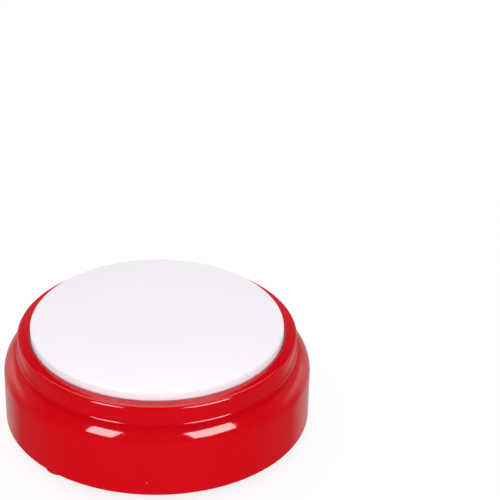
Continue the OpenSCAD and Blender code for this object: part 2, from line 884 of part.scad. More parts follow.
// Cells, each with its button end towards the side given by dir
module cell(y, dir) {
    x0 = dir > 0 ? -box_w / 2 + spring_room : box_w / 2 - spring_room;
    translate([x0, box_y + y, cell_z]) rotate([0, 90 * dir, 0]) {
        cylinder(d = cell_d, h = cell_l - nub_h);
        cylinder(r = nub_r, h = cell_l, $fn = fine);
    }
}
module cell_front() {
    color(copper) cell(-cell_y, 1);
}
module cell_back() {
    color(copper) cell(cell_y, -1);
}

module plate(side, y) {
    translate([side * (box_w / 2 - plate_t / 2 - pinch), box_y + y, cell_z - plate_w / 2])
        block(plate_t, plate_w, plate_w);
}
module contact_coil(side, y) {
    gap = spring_room - plate_t - 2 * pinch;
    translate([side * (box_w / 2 - plate_t + pinch), box_y + y, cell_z]) rotate([0, -90 * side, 0])
        sweep(coil(contact_r, contact_tip_r, gap, contact_wire, contact_turns, 12), contact_wire / 2, 6,
            [0, 0, 1]);
}
module tag(y) {
    translate([-box_w / 2 - box_t - tag_out, box_y + y - tag_w / 2, tag_z])
        cube([box_t + tag_out + tag_in, tag_w, plate_t]);
}
module terminal_negative() {
    color(steel) {
        plate(-1, -cell_y);
        tag(-cell_y);
        contact_coil(-1, -cell_y);
    }
}
module terminal_positive() {
    color(steel) {
        plate(-1, cell_y);
        tag(cell_y);
        translate([-box_w / 2 + plate_t, box_y + cell_y, cell_z]) rotate([0, 90, 0])
            cylinder(r = contact_tip_r, h = nub_room - plate_t - pinch, $fn = fine);
    }
}
module terminal_bridge() {
    color(steel) {
        translate([box_w / 2 - plate_t / 2 - pinch, box_y, cell_z - plate_w / 2])
            block(plate_t, plate_w + 2 * cell_y, plate_w);
        contact_coil(1, cell_y);
        translate([box_w / 2 - plate_t, box_y - cell_y, cell_z]) rotate([0, -90, 0])
            cylinder(r = contact_tip_r, h = nub_room - plate_t - pinch, $fn = fine);
    }
}

// Key board with its switches under it, and the keys in the base plate
module key_board() {
    color(green)
    difference() {
        translate([key_x - key_board_left, key_y - key_board_front, key_board_bottom])
            cube([key_board_left + key_board_right, key_board_front + key_board_back, board_t]);
        for (p = key_posts)
            translate([p[0], p[1], key_board_bottom - cut])
                cylinder(r = screw_r + board_hole_gap, h = board_t + 2 * cut, $fn = fine);
        // Corner cut away beside the case wall
        translate([key_x + key_board_right + corner_out, key_y - key_board_front, key_board_bottom - cut])
            rotate(45) block(corner_cut, corner_cut, board_t + 2 * cut);
    }
}
module tact(i) {
    translate([keys_x[i], key_y, tact_bottom])
        difference() {
            block(tact_w, tact_w, tact_h);
            translate([0, 0, -cut]) cylinder(r = tact_r + plunger_fit, h = tact_hole + cut, $fn = fine);
        }
}
module plunger(i) {
    translate([keys_x[i], key_y, tact_bottom - tact_out])
        cylinder(r = tact_r, h = tact_out + tact_in, $fn = fine);
}
module set_switch() {
    color(black) tact(0);
}
module up_switch() {
    color(black) tact(1);
}
module down_switch() {
    color(black) tact(2);
}
module set_plunger() {
    color(white) plunger(0);
}
module up_plunger() {
    color(white) plunger(1);
}
module down_plunger() {
    color(white) plunger(2);
}
module key(i) {
    translate([keys_x[i], key_y, key_bottom]) {
        cylinder(d = key_d, h = base_top + pinch - key_bottom + key_flange_t, $fn = fine);
        translate([0, 0, base_top + pinch - key_bottom])
            cylinder(r = key_d / 2 + key_flange_w, h = key_flange_t, $fn = fine);
        cylinder(r = key_stem_r, h = tact_bottom - tact_out - pinch - key_bottom, $fn = fine);
    }
}
module bar(i, turn) {
    translate([keys_x[i], key_y, key_bottom - mark_h]) rotate(turn) block(mark_l, mark_w, mark_h + mark_in);
}
module set_key() {
    color(white) {
        key(0);
        translate([keys_x[0], key_y, key_bottom - mark_h]) tube(mark_l / 2, mark_hole, mark_h + mark_in);
    }
}
module up_key() {
    color(white) {
        key(1);
        bar(1, 0);
        bar(1, 90);
    }
}
module down_key() {
    color(white) {
        key(2);
        bar(2, 0);
    }
}

alarm_bottom = key_board_bottom - alarm_h;
knob_x = alarm_x - alarm_travel / 2;
module alarm_switch() {
    color(steel)
        difference() {
            translate([alarm_x, alarm_y, alarm_bottom]) block(alarm_w, alarm_l, alarm_h);
            translate([alarm_x, alarm_y, alarm_bottom - cut])
                block(slider_w + alarm_travel + 2 * slider_gap, slider_w + 2 * slider_gap, alarm_slot + cut);
        }
}
module alarm_slider() {
    color(black)
        translate([knob_x, alarm_y, base_top + slider_up])
            block(slider_w, slider_w, alarm_bottom + slider_in - base_top - slider_up);
}
module alarm_knob() {
    color(black)
        translate([knob_x, alarm_y, 0])
            difference() {
                union() {
                    translate([0, 0, key_bottom]) block(knob_w, knob_l, base_top + pinch - key_bottom + sink);
                    translate([0, 0, base_top + pinch])
                        block(knob_w + 2 * (alarm_travel + knob_flange), knob_l + 2 * knob_flange_l, knob_flange_t);
                }
                for (i = [-1:1])
                    translate([i * knob_groove_pitch, 0, key_bottom - cut])
                        block(knob_groove_w, knob_l + cut, knob_groove_depth + cut);
                translate([0, 0, base_top + pinch + socket_up])
                    block(slider_w + 2 * socket_fit, slider_w + 2 * socket_fit, knob_flange_t + cut);
            }
}

// Screws
module housing_screws() {
    color(steel)
        around(bosses, boss_ring) translate([0, 0, base_z + head_h]) screw(screw_r, case_screw_l, head_r);
}
module deck_screws() {
    color(steel)
        around(feet, ear_ring) translate([0, 0, deck_z]) screw(screw_r, deck_t + deck_screw_l, head_r);
}
module board_screws() {
    color(steel)
        for (p = board_holes)
            translate([p[0], p[1], board_top]) mirror([0, 0, 1]) screw(screw_r, board_t + board_screw_l, head_r);
}
module key_board_screws() {
    color(steel)
        for (p = key_posts)
            translate([p[0], p[1], key_board_top]) mirror([0, 0, 1]) screw(screw_r, board_t + key_screw_l, head_r);
}

// Leads, each pair or group side by side; the last points lie on the main board
lead_r = 0.45;
lead_step = 1.5;
module lead(route) {
    sweep(smooth(route, 3), lead_r, 8, [0.31, 0.2, 1]);
}

lead_gap = 0.02;
lead_end = 1.6;
lead_hump = 0.95;
lead_first = -4.6;
key_lead_first = -1;

// Way up through the window and over the board's front edge
function over_edge(x) = [[x, lead_y - 0.2, deck_z + 1], [x, lead_y + 0.8, board_top - 0.9],
    [x, -board_l / 2 - 0.5, board_top + lead_hump], [x, -board_l / 2 + lead_end, board_top + lead_r + lead_gap]];

module speaker_wires() {
    r = magnet_d / 2 + strip_in;
    x = speaker_x + r * cos(strip_angle);
    y = speaker_y + r * sin(strip_angle);
    color(black) {
        lead(concat([[x - 1.7, y + 1, basket_top + 1.3], [x - 0.1, y - 1, basket_top + 4],
            [x + 4.5, y - 5.8, deck_z - 2.6]], over_edge(lead_first)));
        lead(concat([[x + 1.7, y - 1, basket_top + 1.3], [x + 2.4, y - 1.6, basket_top + 4],
            [x + 6.3, y - 5.3, deck_z - 2.6]], over_edge(lead_first + lead_step)));
    }
}
module key_wires() {
    z = key_board_top + lead_r + lead_gap;
    color(black)
        for (i = [0:3])
            let (x = lead_step * i, left = key_x - key_board_left + x)
            lead(concat([[left + 1.5, key_y - 3, z], [left + 0.7, key_y - 5.2, z + 0.6],
                [left - 1.7, key_y - 7, z + 2.6]],
                over_edge(key_lead_first + x)));
}
// Bends of the two battery leads, as steps from the window, the tag and the board's side edge
bends_near = [[1.9, 0, 0], [0.4, 1, 0.9], [0, 2.65, -0.8], [0, 2.85, 1.4], [1.2, 1.05, 3], [5.6, -2.35, 0.6]];
bends_far = [[1.9, 0, 0], [0.4, -1.8, 0.5], [0, -4.95, -1.4], [0, -6.35, 1], [1.2, -8.05, 3], [5.6, -11.55, 0.6]];
landing_near = 4.35;
landing_far = 13.75;
module battery_lead(y, bends, landing) {
    heights = [tag_z + plate_t + lead_r + lead_gap, tag_z + plate_t + lead_r + lead_gap, deck_z, deck_z, deck_z,
        board_z];
    lead(concat([for (i = [0:5]) [lead_x, y, heights[i]] + bends[i]],
        [[-board_w / 2 - 0.7, y - landing, board_top + lead_hump],
            [-board_w / 2 + lead_end, y - landing - 0.35, board_top + lead_r + lead_gap]]));
}
module battery_wires() {
    color(red) {
        battery_lead(box_y - cell_y, bends_near, landing_near);
        battery_lead(box_y + cell_y, bends_far, landing_far);
    }
}

upper_housing();
base_plate();
press_button();
inner_deck();
button_spring_front();
button_spring_back();
button_spring_left();
main_board();
sound_chip();
crystal();
filter_capacitor();
supply_capacitor();
board_resistors();
main_switch();
main_switch_plunger();
speaker_basket();
speaker_magnet();
speaker_yoke();
speaker_cone();
voice_coil();
speaker_gasket();
speaker_terminals();
speaker_clamps();
speaker_screws();
battery_door();
cell_front();
cell_back();
terminal_negative();
terminal_positive();
terminal_bridge();
key_board();
set_switch();
up_switch();
down_switch();
set_plunger();
up_plunger();
down_plunger();
set_key();
up_key();
down_key();
alarm_switch();
alarm_slider();
alarm_knob();
housing_screws();
deck_screws();
board_screws();
key_board_screws();
speaker_wires();
battery_wires();
key_wires();
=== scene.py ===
"""Looks of the talking clock: a red gloss case with a raised collar and one white domed push button."""

import json
import math

import bmesh
import bpy
from bpy.props import FloatProperty, FloatVectorProperty, IntProperty, PointerProperty
from mathutils import Matrix, Vector


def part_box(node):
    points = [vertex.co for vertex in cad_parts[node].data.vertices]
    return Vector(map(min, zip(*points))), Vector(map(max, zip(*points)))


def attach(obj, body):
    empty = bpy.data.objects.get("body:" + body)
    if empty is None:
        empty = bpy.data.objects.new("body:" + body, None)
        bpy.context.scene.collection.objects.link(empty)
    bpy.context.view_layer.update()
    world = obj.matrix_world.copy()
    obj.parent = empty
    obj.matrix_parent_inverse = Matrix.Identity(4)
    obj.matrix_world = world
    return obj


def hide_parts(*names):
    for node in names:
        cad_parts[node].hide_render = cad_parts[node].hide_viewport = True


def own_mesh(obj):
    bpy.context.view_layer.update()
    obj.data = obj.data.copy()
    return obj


bl_info = {
    "name": "Talking clock",
    "version": (1, 0, 0),
    "blender": (4, 5, 0),
    "location": "3D View > Sidebar > Talking clock",
    "description": "Builds the visible pieces, finishes and studio of a one-button talking clock",
    "category": "Object",
}

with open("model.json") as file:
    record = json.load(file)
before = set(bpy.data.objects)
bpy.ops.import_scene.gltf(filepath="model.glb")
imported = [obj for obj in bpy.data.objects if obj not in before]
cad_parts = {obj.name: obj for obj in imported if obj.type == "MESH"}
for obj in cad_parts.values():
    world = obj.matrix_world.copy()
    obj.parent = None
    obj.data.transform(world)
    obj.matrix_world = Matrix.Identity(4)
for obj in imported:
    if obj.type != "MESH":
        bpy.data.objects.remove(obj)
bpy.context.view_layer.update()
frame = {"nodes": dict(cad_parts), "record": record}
MM = 0.001


def node_box(node):
    """Lowest and highest corner of a CAD node in millimetres."""
    low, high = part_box(node)
    return low / MM, high / MM


def middle(node):
    """Middle of a CAD node, seen from above."""
    low, high = node_box(node)
    return (low.x + high.x) / 2, (low.y + high.y) / 2


CASE_LOW, CASE_HIGH = node_box("upper_housing")
DOOR_LOW, DOOR_HIGH = node_box("battery_door")
KNOB_LOW, KNOB_HIGH = node_box("alarm_knob")
KEYS = ("set_key", "up_key", "down_key")

# Places that several pieces share, in millimetres. The front is towards -y.
FEET = [math.radians(a) for a in (-133.0, -13.0, 107.0)]
BOSSES = [math.radians(a) for a in (-67.0, 53.0, 173.0)]
EARS = [a - math.pi / 3 for a in BOSSES]
FOOT_RING = 42.8
SCREW_RING = 43.4
EAR_RING = 43.6
GUIDE_RING = 32.0
POST_BORE = 1.15
PLATE_R = 47.5
PLATE_LOW, PLATE_WEB, PLATE_TOP = 3.2, 4.5, 5.2
SPEAKER_X, SPEAKER_Y = -17.0, -17.4
KNOB_SLOT_X, KNOB_SLOT_Y = 22.0, -22.0
KEY_POSTS = ((6.5, -19.5), (35.5, -21.0))

# Battery opening, in millimetres: half its width, its front and its back
DOORWAY_X, DOORWAY_FRONT, DOORWAY_BACK = 24.75, 6.2, 28.4
HOOKS = (-14.0, 14.0)

# Camera: its pitch down and its roll in degrees
CAMERA_PITCH = 29.97
CAMERA_ROLL = 0.98

# How far to the right, up and back the camera stands from a point on the clock's axis, and that point's height
CAMERA_RIGHT, CAMERA_UP, CAMERA_BACK = 30.6, 52.1, 827.5
CAMERA_AIM = 2.4

# Floor: half its width in metres, how far below the feet it lies in millimetres, and its white
FLOOR_HALF = 3.0
FLOOR_DROP = 0.1
FLOOR_WHITE = 1.02

# Lamps: degrees to the right of the front and degrees up, then width and height. Lengths in metres.
LAMP_AWAY = 0.9
LAMP_AIM = 0.02
SOFTBOXES = (("softbox_left", -38.6, 0.3), ("softbox_right", 43.5, 0.48))
SOFTBOX_RISE = 31.5
SOFTBOX_HEIGHT = 0.44
FRONT_WAY, FRONT_SIZE = (0.0, 4.0), (1.8, 0.3)
ABOVE_WAY, ABOVE_SIZE = (180.0, 61.0), (0.8, 0.5)

# Shades of the room in the gloss: behind the clock, at its sides, and below the level of the table
BACK_GLOW = 0.26
SIDE_GLOW = 0.8
LOW_GLOW, LOW_FRONT_GLOW, LOW_BACK_GLOW, LOW_SIDE_GLOW = 0.05, 0.06, 0.36, 0.3


# Properties

def size(name, description, default):
    """Length in millimetres, kept as a plain number so that the panel shows what the CAD uses."""
    return FloatProperty(name=name, description=description, default=default, min=0.0, precision=2)


def tint(name, description, default):
    """Colour in linear light."""
    return FloatVectorProperty(name=name, description=description, default=default, subtype="COLOR",
                               size=3, min=0.0, max=1.0)


class ClockCaseSizes(bpy.types.PropertyGroup):
    wall_bottom: size("Wall bottom", "Radius of the wall at its bottom edge, mm", 49.8)
    shoulder_z: size("Shoulder height", "Height at which the straight wall ends, mm", 18.6)
    shoulder_r: size("Shoulder radius", "Radius of the round shoulder, mm", 8.4)
    collar_r: size("Collar radius", "Outer radius of the raised collar, mm", 45.5)
    collar_round: size("Collar edge", "Radius of the collar's top edge, mm", 1.1)
    fillet_r: size("Collar fillet", "Radius of the fillet between shoulder and collar, mm", 0.9)
    ring_z: size("Collar height", "Height of the collar's top edge, mm", 32.15)
    lip_z: size("Lip height", "Height of the lip round the button, mm", 32.4)
    lip_r: size("Lip radius", "Inner radius of the lip round the button, mm", 41.5)
    lip_round: size("Lip edge", "Radius of the lip's edge, mm", 0.35)
    ring_t: size("Ring thickness", "Thickness of the ring round the button, mm", 1.8)
    wall_t: size("Wall thickness", "Thickness of the case wall, mm", 2.0)
    edge_r: size("Bottom edge", "Radius of the wall's bottom edge, mm", 0.3)


class ClockButtonSizes(bpy.types.PropertyGroup):
    radius: size("Radius", "Radius of the button, mm", 41.2)
    rim_z: size("Rim height", "Height at which the button's side ends, mm", 34.4)
    rim_r: size("Rim radius", "Radius of the button's rim, mm", 1.2)
    dome_r: size("Dome radius", "Radius of the sphere that the top is part of, mm", 282.0)
    wall_t: size("Wall thickness", "Thickness of the button's wall, mm", 2.0)
    skirt_t: size("Skirt thickness", "Thickness of the button's skirt, mm", 1.6)
    flange_t: size("Flange thickness", "Thickness of the flange under the ring, mm", 1.4)
    travel: size("Travel", "How far the button goes down, mm", 2.0)
    wire: size("Spring wire", "Thickness of the wire of the return springs, mm", 0.7)
    turns: IntProperty(name="Spring turns", description="Turns of each return spring", default=5, min=3)


class ClockColours(bpy.types.PropertyGroup):
    red: tint("Case red", "Colour of the case, base and battery door", (0.585, 0.0015, 0.0065))
    white: tint("Button white", "Colour of the button and the keys", (0.915, 0.87, 0.925))
    black: tint("Knob black", "Colour of the dark mouldings", (0.02, 0.02, 0.022))
    steel: tint("Steel", "Colour of the screws, springs and terminals", (0.55, 0.56, 0.57))
    board: tint("Board green", "Colour of the circuit boards", (0.015, 0.12, 0.045))
    copper: tint("Copper", "Colour of the voice coil", (0.72, 0.35, 0.18))


class ClockStageSettings(bpy.types.PropertyGroup):
    lens: FloatProperty(name="Lens", description="Focal length on a sensor 36 mm wide", default=180.0,
                        subtype="DISTANCE_CAMERA")
    gleam: FloatProperty(name="Softboxes", description="Radiance of the two softboxes in the gloss",
                         default=12.0)
    front: FloatProperty(name="Front light", description="Power of the low front light", default=4.0,
                         subtype="POWER")
    above: FloatProperty(name="Overhead light", description="Power of the overhead light", default=2.1,
                         subtype="POWER")
    sky: FloatProperty(name="Sky", description="Even light from all round", default=0.85)
    floor_grey: FloatProperty(name="Floor", description="How much light the floor gives back", default=0.2,
                              subtype="FACTOR", min=0.0, max=1.0)
    around: IntProperty(name="Steps round", description="Steps round each turned piece", default=256, min=48)


# Shader maths

class Link:
    """A node's output with Python's operators on it."""

    def __init__(self, finish, socket):
        self.finish = finish
        self.socket = socket

    def maths(self, operation, first, second):
        return self.finish.add("ShaderNodeMath", {"operation": operation}, {0: first, 1: second})

    def __add__(self, other):
        return self.maths("ADD", self, other)

    def __sub__(self, other):
        return self.maths("SUBTRACT", self, other)

    def __rsub__(self, other):
        return self.maths("SUBTRACT", other, self)

    def __mul__(self, other):
        return self.maths("MULTIPLY", self, other)


class Finish:
    """A node tree under construction, of a material or of the world."""

    def __init__(self, tree):
        self.tree = tree
        tree.nodes.clear()

    def add(self, kind, settings, sockets, out=0):
        """New node with its settings and its sockets, filled with values or with the outputs of others."""
        node = self.tree.nodes.new(kind)
        for key, value in settings.items():
            setattr(node, key, value)
        for key, value in sockets.items():
            if isinstance(value, Link):
                self.tree.links.new(value.socket, node.inputs[key])
            else:
                node.inputs[key].default_value = value
        return Link(self, node.outputs[out]) if len(node.outputs) else node

    def mix(self, share, first, second):
        return self.add("ShaderNodeMix", {"data_type": "RGBA"}, {0: share, 6: first, 7: second}, out=2)

    def noise(self, where, scale, detail=2.0):
        return self.add("ShaderNodeTexNoise", {}, {"Vector": where, "Scale": scale, "Detail": detail})

    def band(self, value, low, high, first=0.0, last=1.0):
        """Soft step from first to last as the value goes from low to high."""
        return self.add("ShaderNodeMapRange", {"interpolation_type": "SMOOTHSTEP"},
                        {0: value, 1: low, 2: high, 3: first, 4: last})

    def unsigned(self, value):
        """The value without its sign."""
        return self.add("ShaderNodeMath", {"operation": "ABSOLUTE"}, {0: value})

    def bump(self, height, strength, distance):
        return self.add("ShaderNodeBump", {}, {"Strength": strength, "Distance": distance, "Height": height})

    def ray(self, kind):
        """1 for a ray of the named kind, otherwise 0."""
        return self.add("ShaderNodeLightPath", {}, {}, out=kind)

    def place(self):
        return self.add("ShaderNodeTexCoord", {}, {}, out="Object")

    def stretched(self, where, scale, turn=0.0):
        return self.add("ShaderNodeMapping", {}, {"Vector": where, "Scale": scale, "Rotation": (0, 0, turn)})


def rgba(colour, factor=1.0):
    """Colour for a node's socket, made lighter or darker by a factor."""
    return (*[min(1.0, c * factor) for c in colour], 1.0)


FINISHES = {}


def finish_of(name, build):
    """The named material, made once by build, which fills a Finish and returns the shader's sockets."""
    if name not in FINISHES:
        material = bpy.data.materials.new(name)
        material.use_nodes = True
        finish = Finish(material.node_tree)
        shader = finish.add("ShaderNodeBsdfPrincipled", {}, build(finish))
        finish.add("ShaderNodeOutputMaterial", {}, {"Surface": shader})
        FINISHES[name] = material
    return FINISHES[name]


def hairlines(f, where, turn, scale, width):
    """Thin faint scratches that run one way, broken by a second noise."""
    lines = f.noise(f.stretched(where, (scale, scale * 0.02, scale * 0.02), turn), 1.0, 1.0)
    breaks = f.noise(where, 60.0)
    return f.band(f.unsigned(lines - 0.5), 0.0, width, 1.0, 0.0) * f.band(breaks, 0.5, 0.62)


DUST = (0.8, 0.76, 0.76)


def gloss_plastic(colour, rough, mould=1.0):
    """Moulded plastic with a slight flow in its colour, orange peel, hairlines and specks of dust."""
    def build(f):
        where = f.place()
        flow = f.noise(where, 28.0, 3.0)
        peel = f.noise(where, 620.0, 2.0)
        grain = f.noise(where, 4200.0, 1.0)
        scratch = hairlines(f, where, 0.6, 900.0, 0.012) + hairlines(f, where, 2.1, 1100.0, 0.01)
        cells = f.add("ShaderNodeTexVoronoi", {}, {"Vector": where, "Scale": 190.0})
        dust = f.band(cells, 0.02, 0.045, 1.0, 0.0) * f.band(f.noise(where, 35.0), 0.56, 0.6)
        clean = f.mix(flow, rgba(colour, 0.965), rgba(colour, 1.035))
        height = peel * (0.5 * mould) + grain * (0.06 * mould) - scratch * 0.06
        return {"Base Color": f.mix(dust * 0.35, clean, rgba(DUST)),
                "Roughness": flow * 0.03 + scratch * 0.05 + dust * 0.3 + (rough - 0.015),
                "Normal": f.bump(height, 0.35, 0.000006),
                "IOR": 1.5}
    return build


def matte_plastic(colour, rough=0.5):
    """Dull moulding with a fine spark-eroded texture."""
    def build(f):
        where = f.place()
        flow = f.noise(where, 60.0, 3.0)
        grain = f.noise(where, 2600.0, 3.0)
        return {"Base Color": f.mix(flow, rgba(colour, 0.85), rgba(colour, 1.2)),
                "Roughness": flow * 0.12 + (rough - 0.06),
                "Normal": f.bump(grain, 0.5, 0.00003),
                "IOR": 1.5}
    return build


def metal(colour, rough, stretch=(1.0, 1.0, 12.0)):
    """Bare metal with drawn marks along one direction and a little tarnish."""
    def build(f):
        where = f.place()
        marks = f.noise(f.stretched(where, [700.0 * s for s in stretch]), 1.0, 2.0)
        tarnish = f.noise(where, 240.0, 3.0)
        return {"Base Color": f.mix(tarnish, rgba(colour, 0.8), rgba(colour, 1.15)),
                "Metallic": 1.0,
                "Roughness": marks * 0.12 + tarnish * 0.08 + (rough - 0.1),
                "Normal": f.bump(marks, 0.3, 0.00001)}
    return build


def board(colour):
    """Circuit board with tracks under the lacquer and the weave of the glass cloth."""
    def build(f):
        where = f.place()
        tracks = f.add("ShaderNodeTexBrick", {"offset": 0.5},
                       {"Vector": where, "Scale": 260.0, "Mortar Size": 0.12, "Color1": (0, 0, 0, 1),
                        "Color2": (1, 1, 1, 1), "Mortar": (0.3, 0.3, 0.3, 1)})
        weave = f.add("ShaderNodeTexWave", {}, {"Vector": where, "Scale": 900.0, "Distortion": 0.5},
                      out="Fac")
        shade = f.mix(tracks, rgba(colour, 0.7), rgba(colour, 1.6))
        return {"Base Color": f.mix(weave * 0.15, shade, rgba(colour, 2.2)),
                "Roughness": weave * 0.1 + 0.3,
                "Normal": f.bump(tracks, 0.4, 0.00003)}
    return build


JACKET_DARK = (0.03, 0.032, 0.036)
JACKET_BAND = (0.62, 0.36, 0.12)


def jacket(f):
    """Foil jacket of a cell: dark in the middle, with a bright band at each end."""
    where = f.place()
    band_from, band_full = 0.0152, 0.0154
    along_cell = f.add("ShaderNodeSeparateXYZ", {}, {0: where}, out="X")
    band = f.band(f.unsigned(along_cell), band_from, band_full)
    worn = f.noise(where, 400.0, 2.0)
    return {"Base Color": f.mix(band, rgba(JACKET_DARK), rgba(JACKET_BAND)),
            "Metallic": band * 0.6 + 0.2,
            "Roughness": worn * 0.15 + 0.2,
            "Normal": f.bump(worn, 0.2, 0.00001)}


def colours():
    return bpy.context.scene.clock_colours


def red_gloss():
    return finish_of("red_gloss_plastic", gloss_plastic(colours().red, 0.07))


def white_gloss():
    return finish_of("white_gloss_plastic", gloss_plastic(colours().white, 0.32, 0.8))


def black_matte():
    return finish_of("black_matte_plastic", matte_plastic(colours().black))


def bright_steel():
    return finish_of("bright_steel", metal(colours().steel, 0.3))


# Shapes. Profiles are lists of (radius, height) in millimetres.

def arc(x, y, r, start, end, steps):
    """Points on an arc, angles in degrees."""
    turn = [math.radians(start + (end - start) * i / steps) for i in range(steps + 1)]
    return [(x + r * math.cos(a), y + r * math.sin(a)) for a in turn]


def ring_points(r, steps, x=0.0, y=0.0):
    """Points round a full circle."""
    return [(x + r * math.cos(2 * math.pi * i / steps), y + r * math.sin(2 * math.pi * i / steps))
            for i in range(steps)]


def rounded_rectangle(x0, y0, x1, y1, r, steps=5):
    """Outline of a rectangle with round corners."""
    corners = ((x1 - r, y1 - r), (x0 + r, y1 - r), (x0 + r, y0 + r), (x1 - r, y0 + r))
    points = []
    for i, (x, y) in enumerate(corners):
        points += arc(x, y, r, 90 * i, 90 * i + 90, steps)
    return points


def along(angle, r):
    """Point at a distance from the clock's axis, in the direction of an angle."""
    return r * math.cos(angle), r * math.sin(angle)


def supported(profile, near=0.12):
    """The profile with extra points near the ends of its long stretches, so that their shading stays flat."""
    points = []
    for (r0, z0), (r1, z1) in zip(profile, profile[1:] + profile[:1]):
        points.append((r0, z0))
        length = math.hypot(r1 - r0, z1 - z0)
        if length > 6 * near:
            for share in (near / length, 1 - near / length):
                points.append((r0 + (r1 - r0) * share, z0 + (z1 - z0) * share))
    return points


# Upright part of a face's normal from which the face is shaded flat; no face reaches ALL_SMOOTH
FLAT = 0.999
ALL_SMOOTH = 1.1
SHARP_ANGLE = 35.0


class Shape:
    """A mesh built up in millimetres from turned, flat and block-like bodies."""

    def __init__(self):
        self.bm = bmesh.new()

    def turn(self, profile, steps, at=(0.0, 0.0, 0.0)):
        """Closed profile turned round the vertical through at."""
        rings = []
        for r, z in profile:
            if r < 1e-6:
                rings.append([self.bm.verts.new((at[0], at[1], at[2] + z))])
                continue
            rings.append([self.bm.verts.new((at[0] + x, at[1] + y, at[2] + z))
                          for x, y in ring_points(r, steps)])
        for low, high in zip(rings, rings[1:] + rings[:1]):
            for i in range(steps):
                j = (i + 1) % steps
                corners = [low[i % len(low)], low[j % len(low)], high[j % len(high)], high[i % len(high)]]
                corners = list(dict.fromkeys(corners))
                if len(corners) > 2:
                    self.bm.faces.new(corners)
        return self

    def tube(self, at, bore, r, z0, z1, edge=0.0, steps=32):
        """Upright post at a place, solid when its bore is 0, with a slanted lower edge."""
        lower = [(r - edge, z0), (r, z0 + edge)] if edge else [(r, z0)]
        return self.turn([(bore, z0)] + lower + [(r, z1), (bore, z1)], steps, (*at, 0))

    def coil(self, at, r, z0, z1, turns, wire, steps=28, sides=10):
        """Round wire wound upwards, its first and last turn nearly level."""
        level_turn = 0.6
        rings = []
        for i in range(turns * steps + 1):
            angle = 2 * math.pi * i / steps
            climb = min(1.0, max(0.0, (i / steps - level_turn) / (turns - 2 * level_turn)))
            out = Vector((math.cos(angle), math.sin(angle), 0))
            mid = Vector((*at, z0 + climb * (z1 - z0))) + out * r
            rings.append([self.bm.verts.new(mid + out * x + Vector((0, 0, z)))
                          for x, z in ring_points(wire / 2, sides)])
        for low, high in zip(rings, rings[1:]):
            for i in range(sides):
                self.bm.faces.new((low[i], low[i - 1], high[i - 1], high[i]))
        self.bm.faces.new(rings[0])
        self.bm.faces.new(rings[-1][::-1])
        return self

    def block(self, low, high, edge=0.0, turn=0.0):
        """Box between two corners, its edges rounded, turned about the vertical axis of the clock."""
        low, high = Vector(low), Vector(high)
        made = bmesh.ops.create_cube(self.bm, size=1.0)["verts"]
        for v in made:
            v.co = Vector([low[i] + (v.co[i] + 0.5) * (high[i] - low[i]) for i in range(3)])
        if edge > 0:
            edges = list({e for v in made for e in v.link_edges})
            made = bmesh.ops.bevel(self.bm, geom=edges, offset=edge, segments=3, profile=0.5,
                                   affect="EDGES")["verts"]
        if turn:
            bmesh.ops.rotate(self.bm, verts=made, cent=(0, 0, 0), matrix=Matrix.Rotation(turn, 3, "Z"))
        return self

    def sheet(self, outline, holes, z0, z1, edge):
        """Flat plate with holes, all its edges rounded."""
        curve = bpy.data.curves.new("plate_outline", "CURVE")
        curve.dimensions = "2D"
        curve.fill_mode = "BOTH"
        for points in [outline] + holes:
            spline = curve.splines.new("POLY")
            spline.points.add(len(points) - 1)
            for point, (x, y) in zip(spline.points, points):
                point.co = (x, y, 0.0, 1.0)
            spline.use_cyclic_u = True
        curve.extrude = (z1 - z0) / 2 - edge
        curve.bevel_depth = edge
        curve.bevel_resolution = 2
        curve.offset = -edge
        holder = bpy.data.objects.new("plate_outline", curve)
        bpy.context.scene.collection.objects.link(holder)
        ready = holder.evaluated_get(bpy.context.evaluated_depsgraph_get())
        mesh = bpy.data.meshes.new_from_object(ready)
        mesh.transform(Matrix.Translation((0, 0, (z0 + z1) / 2)))
        self.bm.from_mesh(mesh)
        bpy.data.objects.remove(holder)
        bpy.data.curves.remove(curve)
        bpy.data.meshes.remove(mesh)
        return self

    def piece(self, name, material, body, slot, node, level=ALL_SMOOTH):
        """Ends the shape: the object in metres, on its body, in place of the CAD node."""
        bmesh.ops.remove_doubles(self.bm, verts=self.bm.verts, dist=1e-5)
        bmesh.ops.recalc_face_normals(self.bm, faces=self.bm.faces)
        bmesh.ops.scale(self.bm, vec=(MM, MM, MM), verts=self.bm.verts)
        mesh = bpy.data.meshes.new(name)
        self.bm.to_mesh(mesh)
        self.bm.free()
        mesh.set_sharp_from_angle(angle=math.radians(SHARP_ANGLE))
        for polygon in mesh.polygons:
            polygon.use_smooth = abs(polygon.normal.z) < level
        mesh.materials.append(material)
        thing = bpy.data.objects.new(name, mesh)
        bpy.context.scene.collection.objects.link(thing)
        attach(thing, body)
        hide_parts(node)
        return thing


class ClockPiece:
    """What the operators of this file share."""

    bl_options = {"REGISTER", "UNDO"}

    def execute(self, context):
        self.make(context.scene)
        return {"FINISHED"}


